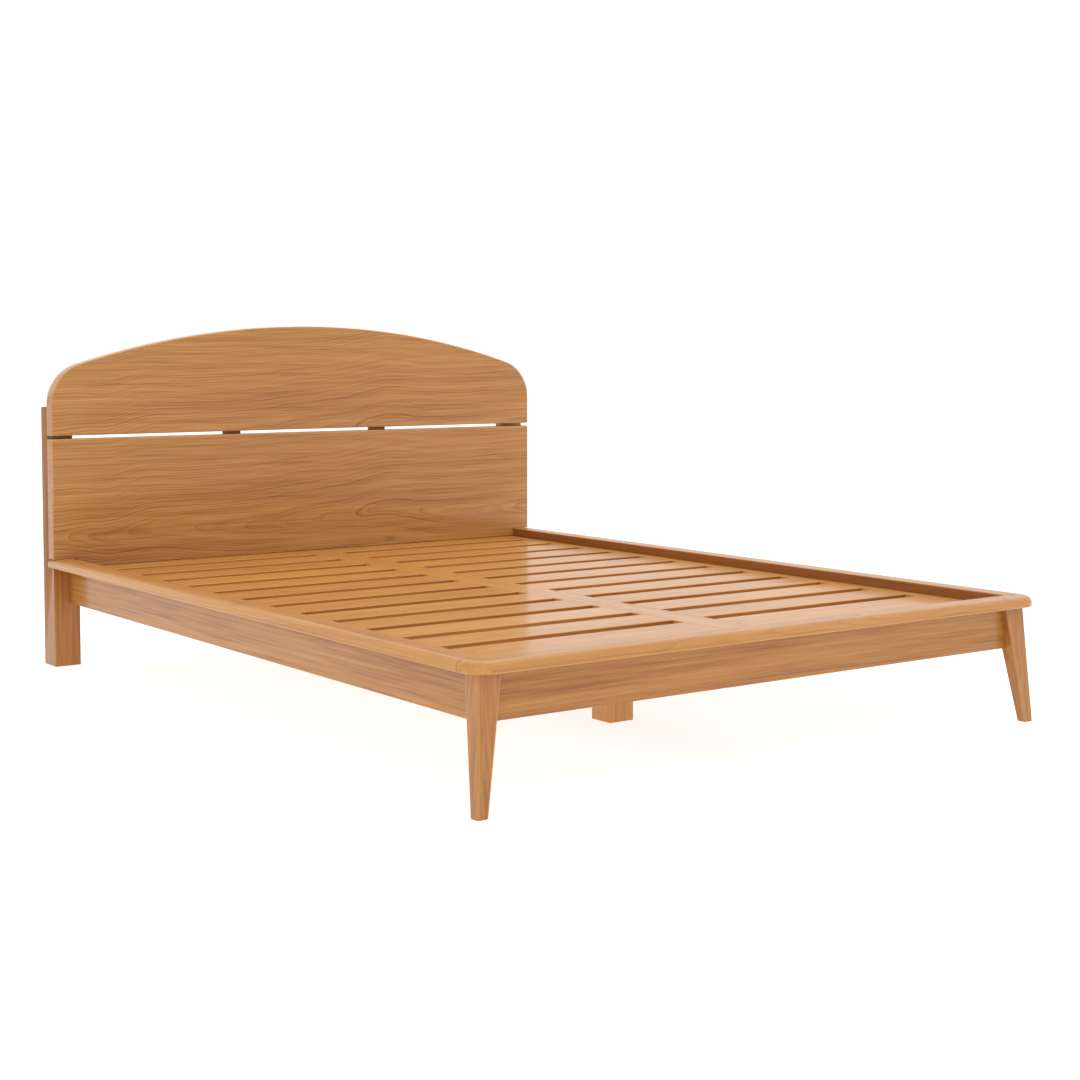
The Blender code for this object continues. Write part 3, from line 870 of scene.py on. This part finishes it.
def makeDeck(s):
    # the outer slats differ in width, and all the rest are copies of the third
    models = {}
    for number in (1, 2, 3, s["count"]):
        models[number] = makeSlat("slat_left_{:02d}".format(number), s)
    for hand in ("left", "right"):
        for number in range(1, s["count"] + 1):
            nodeName = "slat_{}_{:02d}".format(hand, number)
            model = number if number in models else 3
            modelLow = cornersOf("slat_left_{:02d}".format(model))[0]
            low = cornersOf(nodeName)[0]
            board = copyPiece(models[model], [b - a for a, b in zip(modelLow, low)])
            finishPiece(board, nodeName, woods["slatWood"], 0)
    for model in models.values():
        bpy.data.objects.remove(model)
    for nodeName in ("centre_stile", "side_stile_left", "side_stile_right"):
        strip = startBlock(*cornersOf(nodeName))
        roundEdges(strip, runsAlong(1), stile["easedEdge"], 2)
        finishPiece(strip, nodeName, woods["stileWood"], stile["endEase"], 1)
    print("deck made")


# what carries the deck

support = {
    "easedEdge": 0.002, "endEase": 0.0008, "legEdge": 0.003, "slotSlack": 0.0003,
    "blockStraightEnd": 0.730,  # how far out the corner block's slanting cut starts
    "blockFarEnd": 0.100,       # how far behind the foot cap's front it ends
}


def makeSupports(s):
    for nodeName in ("centre_beam", "side_ledger_left", "side_ledger_right"):
        beam = startBlock(*cornersOf(nodeName))
        roundEdges(beam, runsAlong(1), s["easedEdge"], 3)
        finishPiece(beam, nodeName, woods["plainWood"], s["endEase"], 1)

    for nodeName in ("centre_leg_foot", "centre_leg_head"):
        leg = startBlock(*cornersOf(nodeName))
        roundEdges(leg, runsAlong(2), s["legEdge"], 3)
        finishPiece(leg, nodeName, woods["propWood"], s["endEase"])

    beamLow, beamHigh = cornersOf("centre_beam")
    for nodeName in ("beam_cradle_foot", "beam_cradle_head"):
        # a low block whose two ends are drawn up either side of the beam
        low, high = cornersOf(nodeName)
        cradle = startBlock(low, [high[0], high[1], beamLow[2] - s["slotSlack"]])
        inner = beamHigh[0] + s["slotSlack"]
        sawOff(cradle, [((-inner, 0, 0), (1, 0, 0)), ((inner, 0, 0), (1, 0, 0))], keepBoth=True)
        pushFaces(cradle, lambda middle, facing: facing[2] > square and abs(middle[0]) > inner,
                  (0, 0, high[2] - beamLow[2] + s["slotSlack"]))
        finishPiece(cradle, nodeName, woods["plainWood"], s["endEase"])

    for nodeName, hand in (("corner_block_left", -1), ("corner_block_right", 1)):
        # a glued block with one corner sawn away, notched round the leg
        low, high = cornersOf(nodeName)
        block = startBlock(low, high)
        tipX = min(abs(low[0]), abs(high[0]))
        cutWidth = s["blockStraightEnd"] - tipX
        cutLength = high[1] - (cornersOf("foot_cap")[0][1] + s["blockFarEnd"])
        sawOff(block, [((hand * s["blockStraightEnd"], high[1], 0), (-hand * cutLength, cutWidth, 0))])
        legX = footLeg["topSection"][0] - 2 * s["slotSlack"]
        legY = cornersOf("foot_cap")[0][1] + footLeg["topSection"][3] + 2 * s["slotSlack"]
        inner, outer = sorted((hand * legX, hand * (max(abs(low[0]), abs(high[0])) + overrun)))
        cutAway(block, startBlock([inner, low[1] - overrun, low[2] - overrun],
                                  [outer, legY, high[2] + overrun]))
        finishPiece(block, nodeName, woods["plainWoodUpright"], s["endEase"])
    print("supports made")


# everything in order

makeView(viewSettings)
makeSky(viewSettings)
makeFloor(viewSettings)
makeLamp(viewSettings)

woods = {name: makeWood(name, look) for name, look in woodLooks.items()}
woods["boltSteel"] = makeSteel("boltSteel", boltSteel)
print("finishes made:", len(woods))

makeHeadboard(headboard)
makePost("headboard_post_left", post)
makePost("headboard_post_right", post)
makeBolts(bolt)
makeFootLegs(footLeg)
makeAprons(apron)
makeCaps(cap)
makeDeck(slat)
makeSupports(support)
